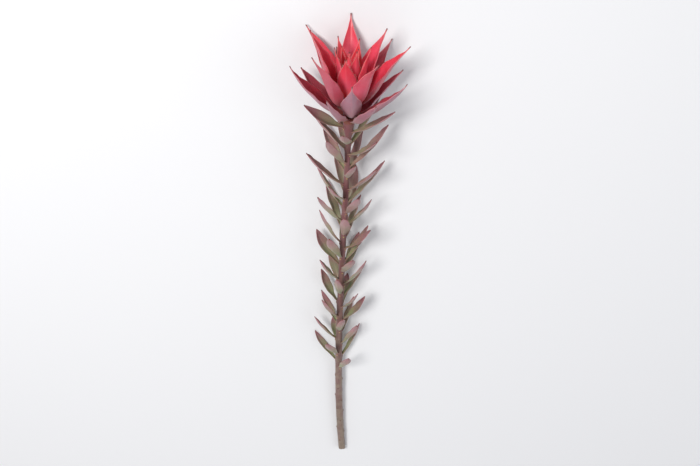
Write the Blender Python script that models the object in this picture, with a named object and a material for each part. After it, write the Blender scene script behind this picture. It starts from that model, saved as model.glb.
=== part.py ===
"""A cut leucadendron stem that lies on a surface: a woody stem with its leaves, a flower head of
coloured bracts in three whorls, and the cone that they hold.

The stem runs along +Y, with the head at the +Y end, and the surface is z = 0. Every leaf, bract and
cone scale is one kind of blade, placed in a spiral that climbs from the lowest leaf to the
cone's tip. Blades are closed solids, sunk into what they grow from and joined to it.
"""

import math
import random

import bmesh
import bpy
import numpy as np

MM = 0.001

# The stem, from the middle of the cut to the foot of the head, in metres.
CUT_CENTRE = np.array([-0.00776, -0.2215, 0.00322])
HEAD_FOOT = np.array([-0.00076, 0.15048, 0.0280])
STEM_LENGTH = 0.374
CUT_HEADING = np.array([-0.060, 1.0, 0.016])
HEAD_HEADING = np.array([0.030, 1.0, 0.110])
CUT_RADIUS = 3.3 * MM
NECK_RADIUS = 2.1 * MM
FOOT_RADIUS = 4.2 * MM
SWELLING_LENGTH = 16.0 * MM
CUT_SLANT = 0.55
STEM_SIDES = 12
STEM_RINGS = 34

# The spiral in which every blade sits.
GOLDEN_ANGLE = 137.508
FIRST_AZIMUTH = 67.0
SEED = 20

# The blades' thickness, and how they meet the surface that the stem lies on.
BLADE_THICKNESS = 0.7 * MM
TIP_HALF_WIDTH = 0.5 * MM
FLAT_HALF_WIDTH = 2.4 * MM
FLOOR_SOFTNESS = 2.0 * MM
FLOOR_SAG = 6.0 * MM

# The leaves on the stem.
LEAF_COUNT = 54
LOWEST_LEAF = 0.112
HIGHEST_LEAF = 0.369

# The head, in heights above the foot of the head, and its turn against the leaves' spiral in degrees.
HEAD_TURN = -7.5
OUTER_COUNT = 10
MAIN_COUNT = 7
INNER_COUNT = 9
OUTER_CORE = (0.3 * MM, 9.5 * MM)
MAIN_CORE = (9.8 * MM, 18.8 * MM)
INNER_CORE = (19.1 * MM, 29.2 * MM)
CONE_CORE = (29.5 * MM, 43.0 * MM)
CORE_RADIUS = 4.6 * MM
CORE_SIDES = 12

# The cone.
CONE_RADIUS = 2.2 * MM
CONE_RINGS = 9
SCALE_COUNT = 34

STATIONS = 161
SHARES = np.linspace(0.0, 1.0, STATIONS)


def mix(first, last, share):
    return first + (last - first) * share


def smooth(share):
    share = np.clip(share, 0.0, 1.0)
    return share * share * (3.0 - 2.0 * share)


def unit(vector):
    return vector / np.linalg.norm(vector)


# The stem's centre line


def axis_at(distance):
    """The centre line's point at a distance from the cut, and its forward, side and up directions."""
    reach = STEM_LENGTH / 3.0
    points = (
        CUT_CENTRE,
        CUT_CENTRE + unit(CUT_HEADING) * reach,
        HEAD_FOOT - unit(HEAD_HEADING) * reach,
        HEAD_FOOT,
    )
    t = min(distance / STEM_LENGTH, 1.0)
    ahead = [last - first for first, last in zip(points, points[1:])]
    point = (
        points[0] * (1 - t) ** 3
        + points[1] * 3 * t * (1 - t) ** 2
        + points[2] * 3 * t * t * (1 - t)
        + points[3] * t**3
    )
    forward = unit(ahead[0] * (1 - t) ** 2 + ahead[1] * 2 * t * (1 - t) + ahead[2] * t * t)
    side = unit(np.cross(forward, (0.0, 0.0, 1.0)))
    up = np.cross(side, forward)
    return point + forward * max(distance - STEM_LENGTH, 0.0), forward, side, up


def stem_radius(distance):
    """The stem thins towards its neck, and swells again into the foot of the head."""
    slim = mix(CUT_RADIUS, NECK_RADIUS, smooth(distance / STEM_LENGTH))
    swelling = smooth((distance - STEM_LENGTH + SWELLING_LENGTH) / SWELLING_LENGTH)
    return mix(slim, FOOT_RADIUS, swelling)


# One blade


def leaf_outline(s):
    """Half width of a leaf as a share of its widest: a narrow stalk, widest past the middle, blunt."""
    stalk, widest = 0.30, 0.56
    rise = stalk + (1 - stalk) * smooth(s / widest)
    t = np.clip((s - widest) / (1 - widest), 0.0, 1.0)
    return np.where(s < widest, rise, (1 - t**2.2) ** 0.75)


def bract_outline(s):
    """Half width of a bract as a share of its widest: broad near the foot, with a long drawn-out tip."""
    foot, widest, taper = 0.34, 0.42, 1.70
    rise = foot + (1 - foot) * np.sin(np.clip(s / widest, 0.0, 1.0) * math.pi / 2)
    t = np.clip((s - widest) / (1 - widest), 0.0, 1.0)
    return np.where(s < widest, rise, (1 - t) ** taper * (1 + taper * t))


def bend(blade):
    """Fills in the midrib's course, along the stem and out from it, from the blade's three leans."""
    root, middle, tip = (math.radians(lean) for lean in blade["leans"])
    lean = root + (middle - root) * smooth(SHARES / blade["settles"])
    lean = lean + (tip - middle) * smooth((SHARES - 0.5) / 0.5)
    step = blade["length"] / (STATIONS - 1)
    halfway = (lean[1:] + lean[:-1]) / 2
    blade["lean"] = lean
    blade["along"] = np.concatenate([[0.0], np.cumsum(np.cos(halfway)) * step])
    blade["out"] = np.concatenate([[0.0], np.cumsum(np.sin(halfway)) * step])


def make_blade(distance, azimuth, root_radius, **form):
    """A blade that grows from the stem's line at a distance, pointing to an azimuth round it."""
    point, forward, side, up = axis_at(distance)
    angle = math.radians(azimuth)
    outward = side * math.cos(angle) + up * math.sin(angle)
    blade = dict(form, forward=forward, outward=outward, across=np.cross(forward, outward))
    blade["root"] = point + outward * root_radius
    bend(blade)
    # One that would reach far below the surface leans closer to the stem.
    for _ in range(40):
        tip = blade["root"] + forward * blade["along"][-1] + outward * blade["out"][-1]
        if tip[2] > -FLOOR_SAG:
            break
        blade["leans"] = [lean * 0.97 for lean in blade["leans"]]
        bend(blade)
    return blade


def middle_surface(blade, s, u):
    """Points of the blade's middle surface, at shares s of its length and u from edge to edge."""
    lean, along, out = (np.interp(s, SHARES, blade[name])[..., None] for name in ("lean", "along", "out"))
    bractness = blade["bractness"]
    outline = mix(leaf_outline(s), bract_outline(s), bractness)
    half = np.maximum(outline * blade["width"] / 2, TIP_HALF_WIDTH)
    # The section turns up by the fold at the midrib, and by the cup from there to the edge. It is
    # flatter where the blade is hardly wider than thick.
    flatness = np.minimum(1.0, half / FLAT_HALF_WIDTH)
    fold = np.radians(mix(blade["fold"][0], blade["fold"][1], s)) * flatness
    root_cup, middle_cup, tip_cup = blade["cup"]
    cup = mix(root_cup, middle_cup, smooth(s / 0.25)) + (tip_cup - middle_cup) * smooth((s - 0.25) / 0.5)
    cup = np.radians(cup) * flatness
    sweep = np.abs(u)
    flat = half * (np.sin(fold + cup * sweep) - np.sin(fold)) / cup * np.sign(u)
    rise = half * (np.cos(fold) - np.cos(fold + cup * sweep)) / cup
    forward, outward, across = blade["forward"], blade["outward"], blade["across"]
    face = forward * np.sin(lean) - outward * np.cos(lean)
    turn = np.radians(blade["twist"] * smooth(s / 0.6))[..., None]
    sideways = across * np.cos(turn) + face * np.sin(turn)
    inward = face * np.cos(turn) - across * np.sin(turn)
    points = blade["root"] + forward * along + outward * out
    points = points + across * (blade["swing"] * smooth(s))[..., None]
    points = points + sideways * flat[..., None] + inward * rise[..., None]
    # The surface presses back what would sink into it.
    height = points[..., 2]
    points[..., 2] = FLOOR_SOFTNESS * np.logaddexp(0.0, height / FLOOR_SOFTNESS)
    return points


def blade_faces(blade, s, u):
    """Points of the blade's inner and outer face, a thickness apart and no lower than the surface."""
    step = 0.01
    ahead = middle_surface(blade, np.minimum(s + step, 1.0), u)
    behind = middle_surface(blade, np.maximum(s - step, 0.0), u)
    left = middle_surface(blade, s, np.maximum(u - step, -1.0))
    right = middle_surface(blade, s, np.minimum(u + step, 1.0))
    normal = np.cross(ahead - behind, right - left)
    normal /= np.linalg.norm(normal, axis=-1, keepdims=True)
    middle = middle_surface(blade, s, u)
    offset = normal * BLADE_THICKNESS / 2
    faces = [middle + offset, middle - offset]
    sunk = np.minimum(0.0, np.minimum(faces[0][..., 2], faces[1][..., 2]))
    for face in faces:
        face[..., 2] -= sunk
    return faces


def blade_mesh(blade, rows, columns):
    """Vertices and triangles of one blade, as a closed tube of sections from root to tip."""
    s, u = np.meshgrid(np.linspace(0.0, 1.0, rows + 1), np.linspace(-1.0, 1.0, columns + 1), indexing="ij")
    inner, outer = blade_faces(blade, s, u)
    points = np.concatenate([inner, outer[:, ::-1]], axis=1).reshape(-1, 3)
    around = 2 * (columns + 1)
    triangles = []
    for row in range(rows):
        for column in range(around):
            a = row * around + column
            b = row * around + (column + 1) % around
            c, d = b + around, a + around
            # Both faces are split along the same diagonal, so a curved blade keeps its thickness.
            if column <= columns:
                triangles += [(a, b, c), (a, c, d)]
            else:
                triangles += [(a, b, d), (b, c, d)]
    last = rows * around
    for column in range(columns):
        a, b = column, column + 1
        c, d = around - 2 - column, around - 1 - column
        triangles += [(a, d, c), (a, c, b)]
        a, b, c, d = (last + corner for corner in (a, b, c, d))
        triangles += [(a, b, c), (a, c, d)]
    return points, triangles


# The spiral's blades, from the lowest leaf up


def azimuth_of(order, chance, spread):
    return FIRST_AZIMUTH + order * GOLDEN_ANGLE + chance.uniform(-spread, spread)


def stem_leaves():
    """Narrow leaves with a blunt tip, further apart and closer to the stem low down."""
    chance = random.Random(SEED)
    blades = []
    for order in range(LEAF_COUNT):
        share = order / (LEAF_COUNT - 1)
        distance = mix(LOWEST_LEAF, HIGHEST_LEAF, share * (1.2 - 0.2 * share))
        opening = share**3
        jitter = chance.uniform(-6, 6)
        blades.append(
            make_blade(
                distance,
                azimuth_of(order, chance, 9),
                0.4 * stem_radius(distance),
                length=mix(37, 46, share) * MM * chance.uniform(0.90, 1.08),
                width=mix(8.8, 10.8, share) * MM * chance.uniform(0.92, 1.08),
                bractness=0.35 * share**5,
                leans=[mix(low, high, opening) + jitter for low, high in ((48, 68), (32, 46), (14, 32))],
                settles=0.45,
                fold=(10, 14),
                cup=(12, 40, 26),
                twist=chance.uniform(-32, 32),
                swing=chance.uniform(-3, 3) * MM,
            )
        )
    return blades


def head_whorl(count, first_order, core, seed, form):
    """One whorl of bracts. The form gives each measure for its lowest and its highest bract."""
    chance = random.Random(SEED + seed)
    blades = []
    for index in range(count):
        share = index / (count - 1)
        now = {name: mix(np.array(low), np.array(high), share) for name, (low, high) in form.items()}
        height = mix(core[0] + now["sunk"] * MM, core[1] - now["sunk"] * MM, share)
        jitter = chance.uniform(-1, 1) * now["jitter"]
        blades.append(
            make_blade(
                STEM_LENGTH + height,
                azimuth_of(first_order + index, chance, 3) + HEAD_TURN,
                now["root_radius"] * MM,
                length=now["length"] * MM * chance.uniform(0.95, 1.05),
                width=now["width"] * MM * chance.uniform(0.95, 1.05),
                bractness=now["bractness"],
                leans=list(now["leans"] + (jitter, jitter, jitter + chance.uniform(-1, 1) * now["curl"])),
                settles=now["settles"],
                fold=now["fold"],
                cup=now["cup"],
                twist=chance.uniform(-1, 1) * now["twist"],
                swing=chance.uniform(-1, 1) * now["swing"] * MM,
            )
        )
    return blades


def outer_bracts():
    form = {
        "length": (48, 62),
        "width": (13, 19),
        "bractness": (0.45, 1.0),
        "leans": ((78, 47, 28), (70, 36, 34)),
        "curl": (14, 12),
        "settles": (0.45, 0.45),
        "fold": ((8, 16), (8, 18)),
        "cup": ((12, 46, 26), (12, 54, 28)),
        "twist": (16, 10),
        "swing": (6, 6),
        "jitter": (4, 3),
        "root_radius": (3.0, 3.0),
        "sunk": (1.2, 2.0),
    }
    return head_whorl(OUTER_COUNT, LEAF_COUNT, OUTER_CORE, 24, form)


def main_bracts():
    form = {
        "length": (66, 62),
        "width": (22, 21),
        "bractness": (1.0, 1.0),
        "leans": ((66, 29, 34), (50, 13, 24)),
        "curl": (14, 10),
        "settles": (0.45, 0.42),
        "fold": ((8, 20), (8, 20)),
        "cup": ((12, 58, 30), (14, 62, 34)),
        "twist": (8, 6),
        "swing": (5, 3),
        "jitter": (2, 2),
        "root_radius": (3.0, 3.2),
        "sunk": (1.2, 2.8),
    }
    return head_whorl(MAIN_COUNT, LEAF_COUNT + OUTER_COUNT, MAIN_CORE, 92, form)


def inner_bracts():
    form = {
        "length": (47, 33),
        "width": (17, 9),
        "bractness": (1.0, 1.0),
        "leans": ((66, 9, 16), (46, -3, -4)),
        "curl": (4, 3),
        "settles": (0.29, 0.21),
        "fold": ((1, 12), (1, 12)),
        "cup": ((20, 50, 30), (20, 48, 32)),
        "twist": (5, 3),
        "swing": (2, 1),
        "jitter": (1, 1),
        "root_radius": (3.4, 3.4),
        "sunk": (1.2, 2.2),
    }
    return head_whorl(INNER_COUNT, LEAF_COUNT + OUTER_COUNT + MAIN_COUNT, INNER_CORE, 23, form)


def cone_profile(share):
    """The cone's radius from its foot to its tip."""
    return CONE_RADIUS * math.sqrt(max(0.0, 1 - (abs(share - 0.38) / 0.62) ** 2.2)) + 0.5 * MM


def cone_scales():
    """Small overlapping scales in the same spiral, pointing up the cone."""
    blades = []
    first = LEAF_COUNT + OUTER_COUNT + MAIN_COUNT + INNER_COUNT
    for index in range(SCALE_COUNT):
        share = mix(0.06, 0.88, index / (SCALE_COUNT - 1))
        distance = STEM_LENGTH + mix(CONE_CORE[0], CONE_CORE[1], share)
        blades.append(
            make_blade(
                distance,
                FIRST_AZIMUTH + (first + index) * GOLDEN_ANGLE + HEAD_TURN,
                cone_profile(share) - 1.0 * MM,
                length=mix(3.3, 2.8, share) * MM,
                width=mix(3.2, 2.4, share) * MM,
                bractness=0.5,
                leans=[mix(46, 30, share)] * 3,
                settles=0.45,
                fold=(6, 6),
                cup=(20, 40, 30),
                twist=0.0,
                swing=0.0,
            )
        )
    return blades


# Bodies of revolution round the stem's line


def tube_mesh(distances, radii, sides, slant=0.0):
    """A closed tube round the stem's line. The slant tilts its first ring, as a blade cuts a stem."""
    points = []
    for index, (distance, radius) in enumerate(zip(distances, radii)):
        point, forward, side, up = axis_at(distance)
        for step in range(sides):
            angle = 2 * math.pi * (step + 0.5) / sides
            offset = side * math.cos(angle) * radius + up * math.sin(angle) * radius
            shift = forward * math.sin(angle) * radius * slant if index == 0 else 0.0
            points.append(point + offset + shift)
    faces = [tuple(range(sides))[::-1]]
    for ring in range(len(distances) - 1):
        for step in range(sides):
            a = ring * sides + step
            b = ring * sides + (step + 1) % sides
            faces.append((a, b, b + sides, a + sides))
    last = (len(distances) - 1) * sides
    faces.append(tuple(range(last, last + sides)))
    return np.array(points), faces


def core_mesh(span, radius):
    distances = [STEM_LENGTH + height for height in span]
    return tube_mesh(distances, [radius, radius], CORE_SIDES)


def cone_core_mesh():
    shares = [step / (CONE_RINGS - 1) for step in range(CONE_RINGS)]
    distances = [STEM_LENGTH + mix(CONE_CORE[0], CONE_CORE[1], share) for share in shares]
    return tube_mesh(distances, [cone_profile(share) for share in shares], CORE_SIDES)


def stem_mesh():
    distances = [STEM_LENGTH * step / STEM_RINGS for step in range(STEM_RINGS + 1)]
    return tube_mesh(distances, [stem_radius(distance) for distance in distances], STEM_SIDES, CUT_SLANT)


# Objects


def make_material(name, colour, roughness):
    material = bpy.data.materials.new(name)
    material.use_nodes = True
    shader = material.node_tree.nodes["Principled BSDF"]
    shader.inputs["Base Color"].default_value = (*colour, 1.0)
    shader.inputs["Roughness"].default_value = roughness
    shader.inputs["Metallic"].default_value = 0.0
    material.diffuse_color = (*colour, 1.0)
    return material


def make_object(name, points, faces, collection):
    mesh = bpy.data.meshes.new(name)
    mesh.from_pydata([tuple(point) for point in points], [], faces)
    work = bmesh.new()
    work.from_mesh(mesh)
    bmesh.ops.recalc_face_normals(work, faces=work.faces)
    work.to_mesh(mesh)
    work.free()
    item = bpy.data.objects.new(name, mesh)
    collection.objects.link(item)
    return item


def make_node(name, core, blades, rows, columns, material):
    """One solid: a core, and the blades that grow from it joined by one union."""
    scene = bpy.context.scene.collection
    node = make_object(name, *core, scene)
    repeats = bpy.data.collections.new(name + "_blades")
    scene.children.link(repeats)
    for index, blade in enumerate(blades):
        make_object(f"{name}_blade_{index}", *blade_mesh(blade, rows, columns), repeats)
    union = node.modifiers.new("join blades", "BOOLEAN")
    union.operation = "UNION"
    union.operand_type = "COLLECTION"
    union.collection = repeats
    union.solver = "EXACT"
    joined = bpy.data.meshes.new_from_object(node.evaluated_get(bpy.context.evaluated_depsgraph_get()))
    node.modifiers.clear()
    node.data = joined
    joined.name = name
    for item in list(repeats.objects):
        bpy.data.objects.remove(item)
    bpy.data.collections.remove(repeats)
    joined.materials.clear()
    joined.materials.append(material)
    joined.shade_smooth()
    joined.set_sharp_from_angle(angle=math.radians(50))
    return node


def main():
    for item in list(bpy.data.objects):
        bpy.data.objects.remove(item)
    make_node(
        "leafy_stem",
        stem_mesh(),
        stem_leaves(),
        6,
        2,
        make_material("stem and leaves", (0.27, 0.25, 0.20), 0.55),
    )
    make_node(
        "outer_bracts",
        core_mesh(OUTER_CORE, CORE_RADIUS),
        outer_bracts(),
        8,
        4,
        make_material("outer bracts", (0.34, 0.10, 0.13), 0.5),
    )
    make_node(
        "main_bracts",
        core_mesh(MAIN_CORE, CORE_RADIUS),
        main_bracts(),
        9,
        4,
        make_material("main bracts", (0.62, 0.05, 0.08), 0.42),
    )
    make_node(
        "inner_bracts",
        core_mesh(INNER_CORE, CORE_RADIUS),
        inner_bracts(),
        8,
        4,
        make_material("inner bracts", (0.75, 0.10, 0.05), 0.42),
    )
    make_node(
        "cone", cone_core_mesh(), cone_scales(), 3, 2, make_material("cone", (0.55, 0.52, 0.16), 0.6)
    )


main()
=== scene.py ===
# A cut leucadendron stem on a pale table, dressed for rendering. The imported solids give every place:
# each leaf, bract and scale here grows from the same rule as its solid, with a finer shape and finish.

import math
import random

import bmesh
import bpy
import numpy as np
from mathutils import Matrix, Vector


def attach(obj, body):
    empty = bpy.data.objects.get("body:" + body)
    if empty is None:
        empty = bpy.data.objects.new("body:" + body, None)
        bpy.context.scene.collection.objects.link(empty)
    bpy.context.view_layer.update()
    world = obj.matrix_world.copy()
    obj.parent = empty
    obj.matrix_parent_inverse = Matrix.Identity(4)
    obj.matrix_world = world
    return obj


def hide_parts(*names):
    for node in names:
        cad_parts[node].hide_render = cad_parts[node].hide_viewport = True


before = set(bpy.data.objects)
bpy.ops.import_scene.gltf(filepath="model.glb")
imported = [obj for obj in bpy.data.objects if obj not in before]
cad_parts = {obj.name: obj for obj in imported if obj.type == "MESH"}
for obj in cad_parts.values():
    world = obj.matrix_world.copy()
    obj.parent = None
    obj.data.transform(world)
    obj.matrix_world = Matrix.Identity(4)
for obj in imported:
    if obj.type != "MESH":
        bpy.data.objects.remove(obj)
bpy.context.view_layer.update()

mm = 0.001

# the stem's middle line, from the cut to the foot of the head
stemLine = {
    "cutCentre": (-0.00776, -0.2215, 0.00322),
    "headFoot": (-0.00076, 0.15048, 0.0280),
    "length": 0.374,
    "cutHeading": (-0.060, 1.0, 0.016),
    "headHeading": (0.030, 1.0, 0.110),
}

# the one spiral that every leaf, bract and scale sits in, in degrees; the head is turned a little in it
spiral = {"turn": 137.508, "first": 67.0, "headTurn": -7.5, "seed": 20}

# how softly the table lifts what would sink into it, and how far below it a blade may aim
table = {"softness": 2.0 * mm, "sag": 6.0 * mm}

stations = np.linspace(0.0, 1.0, 161)  # the steps in which a midrib is bent


def mix(first, last, share):
    return first + (last - first) * share


def smooth(share):
    share = np.clip(share, 0.0, 1.0)
    return share * share * (3.0 - 2.0 * share)


def unit(vector):
    vector = np.array(vector, dtype=float)
    return vector / np.linalg.norm(vector)


# the stem's line and the blades' rule

def axisAt(distance):
    # a point of the line, a cubic curve, and the directions along, beside and above it
    length = stemLine["length"]
    foot, head = np.array(stemLine["cutCentre"]), np.array(stemLine["headFoot"])
    headings = unit(stemLine["cutHeading"]), unit(stemLine["headHeading"])
    corners = [foot, foot + headings[0] * length / 3, head - headings[1] * length / 3, head]
    share = min(distance / length, 1.0)
    while len(corners) > 2:
        corners = [mix(first, last, share) for first, last in zip(corners, corners[1:])]
    point, forward = mix(*corners, share), unit(corners[1] - corners[0])
    side = unit(np.cross(forward, (0.0, 0.0, 1.0)))
    up = np.cross(side, forward)
    return point + forward * max(distance - length, 0.0), forward, side, up


def spokeAt(distance, azimuth):
    # the line's point and heading at a distance, and the way out of it at an azimuth in degrees
    point, forward, side, up = axisAt(distance)
    angle = math.radians(azimuth)
    return point, forward, side * math.cos(angle) + up * math.sin(angle)


def stemRadius(distance):
    slim = mix(stemPiece["cutRadius"], stemPiece["neckRadius"], smooth(distance / stemLine["length"]))
    swelling = smooth((distance - stemLine["length"] + stemPiece["swelling"]) / stemPiece["swelling"])
    return mix(slim, stemPiece["footRadius"], swelling)


def leafOutline(s):
    # half width as a share of the widest: a narrow stalk, widest past the middle, blunt
    stalk, widest = 0.30, 0.56
    t = np.clip((s - widest) / (1 - widest), 0.0, 1.0)
    return np.where(s < widest, stalk + (1 - stalk) * smooth(s / widest), (1 - t**2.2) ** 0.75)


def bractOutline(s):
    # broad near the foot, with a long drawn-out tip
    foot, widest, taper = 0.34, 0.42, 1.70
    t = np.clip((s - widest) / (1 - widest), 0.0, 1.0)
    rise = foot + (1 - foot) * np.sin(np.clip(s / widest, 0.0, 1.0) * math.pi / 2)
    return np.where(s < widest, rise, (1 - t) ** taper * (1 + taper * t))


def bendMidrib(blade):
    root, middle, tip = (math.radians(lean) for lean in blade["leans"])
    lean = root + (middle - root) * smooth(stations / blade["settles"])
    lean = lean + (tip - middle) * smooth((stations - 0.5) / 0.5)
    step = blade["length"] / (len(stations) - 1)
    halfway = (lean[1:] + lean[:-1]) / 2
    blade["lean"] = lean
    blade["along"] = np.concatenate([[0.0], np.cumsum(np.cos(halfway)) * step])
    blade["out"] = np.concatenate([[0.0], np.cumsum(np.sin(halfway)) * step])


def makeBlade(distance, azimuth, rootRadius, **form):
    # a blade that grows from the stem's line at a distance, pointing to an azimuth round it
    point, forward, outward = spokeAt(distance, azimuth)
    blade = dict(form, distance=distance, azimuth=azimuth, forward=forward, outward=outward)
    blade["across"] = np.cross(forward, outward)
    blade["root"] = point + outward * rootRadius
    bendMidrib(blade)
    for _ in range(40):  # one that would reach far below the table leans closer to the stem
        tip = blade["root"] + forward * blade["along"][-1] + outward * blade["out"][-1]
        if tip[2] > -table["sag"]:
            break
        blade["leans"] = [lean * 0.97 for lean in blade["leans"]]
        bendMidrib(blade)
    return blade


def azimuthOf(order, chance, spread):
    return spiral["first"] + order * spiral["turn"] + chance.uniform(-spread, spread)


# node helpers

def paint(*colour):
    # a colour as a picker shows it, 0 to 255, made linear for the shaders
    share = np.array(colour) / 255
    return (*np.where(share < 0.04045, share / 12.92, ((share + 0.055) / 1.055) ** 2.4).tolist(), 1.0)


class Wire:
    # A node's output that can be added, multiplied and so on, so that a formula reads like one. In
    # square brackets it gives another output of the same node.
    def __init__(self, tree, socket):
        self.tree, self.socket = tree, socket

    def __getitem__(self, output):
        return Wire(self.tree, self.socket.node.outputs[output])

    def __abs__(self):
        return calc("ABSOLUTE", self)

    def __add__(self, other):
        return calc("ADD", self, other)

    def __sub__(self, other):
        return calc("SUBTRACT", self, other)

    def __rsub__(self, other):
        return calc("SUBTRACT", other, self)

    def __mul__(self, other):
        return calc("MULTIPLY", self, other)

    def __truediv__(self, other):
        return calc("DIVIDE", self, other)

    __radd__, __rmul__ = __add__, __mul__


def feed(socket, value):
    if isinstance(value, Wire):
        value.tree.links.new(value.socket, socket)
    else:
        socket.default_value = paint(*value) if socket.type == "RGBA" else value


def addNode(tree, kind, inputs=(), **settings):
    node = tree.nodes.new(kind)
    for name, value in settings.items():
        setattr(node, name, value)
    for key, value in inputs.items() if isinstance(inputs, dict) else enumerate(inputs):
        feed(node.inputs[key], value)
    count = len(tree.nodes)
    node.location = (count // 7 * 230, -(count % 7) * 210)
    return node


def put(tree, kind, inputs=(), output=0, **settings):
    return Wire(tree, addNode(tree, kind, inputs, **settings).outputs[output])


def calc(operation, *values):
    wires = [value for value in values if isinstance(value, Wire)]
    if all(wire.socket.type not in ("VECTOR", "RGBA") for wire in wires):
        return put(wires[0].tree, "ShaderNodeMath", values, operation=operation)
    values = [value if isinstance(value, Wire) else (value,) * 3 for value in values]
    return put(wires[0].tree, "ShaderNodeVectorMath", values, operation=operation)


def parts(vector):
    return put(vector.tree, "ShaderNodeSeparateXYZ", [vector])


def joined(x, y, z):
    return put(x.tree, "ShaderNodeCombineXYZ", (x, y, z))


def rising(value, low, high, first=0.0, last=1.0):
    values = (value, low, high, first, last)
    return put(value.tree, "ShaderNodeMapRange", values, interpolation_type="SMOOTHSTEP")


def falling(value, low, high, first=1.0, last=0.0):
    return rising(value, low, high, first, last)


def noise(place, scale, detail=2.0, roughness=0.5):
    values = {"Vector": place, "Scale": scale, "Detail": detail, "Roughness": roughness}
    return put(place.tree, "ShaderNodeTexNoise", values)


def cells(place, scale, feature="F1"):
    return put(place.tree, "ShaderNodeTexVoronoi", {"Vector": place, "Scale": scale}, feature=feature)


def startTree(name, kind, inputs, outputs):
    # a number gives a socket its kind and first value, a word only its kind
    tree = bpy.data.node_groups.new(name, kind)
    for side, sockets in (("INPUT", inputs), ("OUTPUT", outputs)):
        for label, value in sockets.items():
            what = value if isinstance(value, str) else type(value).__name__.capitalize()
            socket = tree.interface.new_socket(label, in_out=side, socket_type="NodeSocket" + what)
            if what != value:
                socket.default_value = value
    return tree, put(tree, "NodeGroupInput"), addNode(tree, "NodeGroupOutput").inputs


def startShapes(name, values):
    inputs = {"Geometry": "Geometry", **values, "Material": "Material"}
    return startTree(name, "GeometryNodeTree", inputs, {"Geometry": "Geometry"})


def read(tree, name, what="FLOAT"):
    return put(tree, "GeometryNodeInputNamedAttribute", {"Name": name}, "Attribute", data_type=what)


def store(geometry, name, value, what="FLOAT"):
    values = {"Geometry": geometry, "Name": name, "Value": value}
    return put(geometry.tree, "GeometryNodeStoreNamedAttribute", values, data_type=what, domain="POINT")


def endTree(geometry, given, result, shadeSmooth=True):
    tree = geometry.tree
    geometry = put(tree, "GeometryNodeRealizeInstances", [geometry])
    geometry = put(tree, "GeometryNodeSetShadeSmooth", {"Geometry": geometry, "Shade Smooth": shadeSmooth})
    geometry = put(tree, "GeometryNodeSetMaterial", {"Geometry": geometry, "Material": given["Material"]})
    feed(result["Geometry"], geometry)
    return tree


def meshObject(name, points, edges=(), faces=(), **attributes):
    mesh = bpy.data.meshes.new(name)
    mesh.from_pydata([tuple(point) for point in points], list(edges), list(faces))
    for label, values in attributes.items():
        values = np.asarray(values, dtype=np.float32)
        vector = values.ndim == 2
        layer = mesh.attributes.new(label, "FLOAT_VECTOR" if vector else "FLOAT", "POINT")
        layer.data.foreach_set("vector" if vector else "value", values.ravel())
    piece = bpy.data.objects.new(name, mesh)
    bpy.context.scene.collection.objects.link(piece)
    return piece


def turnOutward(mesh):
    work = bmesh.new()
    work.from_mesh(mesh)
    bmesh.ops.recalc_face_normals(work, faces=work.faces)
    work.to_mesh(mesh)
    work.free()


def grow(piece, tree, values):
    # runs a tree on an object, with the values that it has inputs for, and keeps its result as a plain mesh
    modifier = piece.modifiers.new(tree.name, "NODES")
    modifier.node_group = tree
    for item in tree.interface.items_tree:
        if item.in_out == "INPUT" and item.name in values:
            modifier[item.identifier] = values[item.name]
    result = bpy.data.meshes.new_from_object(piece.evaluated_get(bpy.context.evaluated_depsgraph_get()))
    piece.modifiers.remove(modifier)
    result.name = piece.name
    piece.data = result
    turnOutward(result)
    return piece



def keep(piece, *nodes):
    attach(piece, "root")
    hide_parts(*nodes)


def shellPiece(name, points, faces, material, *nodes, **attributes):
    piece = meshObject(name, points, faces=faces, **attributes)
    piece.data.materials.append(material)
    piece.data.shade_smooth()
    turnOutward(piece.data)
    keep(piece, *nodes)


# shader groups

def shade(factor, first, last):
    return put(factor.tree, "ShaderNodeMix", {0: factor, 6: first, 7: last}, 2, data_type="RGBA")


def layered(colour, look, layers):
    # lays colours of a look over the first, each as strongly as its mask says
    for label, mask in layers:
        colour = shade(mask, colour, look[label])
    return colour


def ramp(factor, stops):
    # each stop is a place and a colour
    node = addNode(factor.tree, "ShaderNodeValToRGB", [factor])
    elements = node.color_ramp.elements
    while len(elements) < len(stops):
        elements.new(0.5)
    for element, (place, *colour) in zip(elements, stops):
        element.position = place
        element.color = paint(*colour)
    return Wire(factor.tree, node.outputs[0])


def attribute(tree, name, output="Fac"):
    return put(tree, "ShaderNodeAttribute", (), output, attribute_name=name)


def use(tree, group, **values):
    return put(tree, "ShaderNodeGroup", values, node_tree=group)


def stretched(place, share):
    # a place for a pattern that is drawn out along the stem
    return put(place.tree, "ShaderNodeMapping", {"Vector": place, "Scale": (1.0, share, 1.0)})


def startEffect(name, values, *masks):
    inputs = {"Place": "Vector", **values}
    return startTree(name, "ShaderNodeTree", inputs, {label: "Float" for label in masks})


def buildVeins():
    # veins that leave the midrib at a narrow angle, and a fine net between them
    values = {"Spacing": 2.4 * mm, "Slant": 3.4, "Net": 900.0}
    tree, given, result = startEffect("leafVeins", values, "Veins", "Net", "Height")
    place = parts(given["Place"])
    across = abs(place[0])
    phase = (place[1] - across * given["Slant"]) / given["Spacing"] + noise(given["Place"], 160.0) * 1.6
    veins = falling(calc("PINGPONG", phase, 0.5), 0.0, 0.17)
    midrib = falling(across, 0.15 * mm, 0.75 * mm)
    veins = calc("MAXIMUM", veins * 0.55, midrib)
    net = falling(cells(given["Place"], given["Net"], "DISTANCE_TO_EDGE"), 0.0, 0.16)
    feed(result["Veins"], veins)
    feed(result["Net"], net)
    feed(result["Height"], veins + net * 0.22)
    return tree


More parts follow.
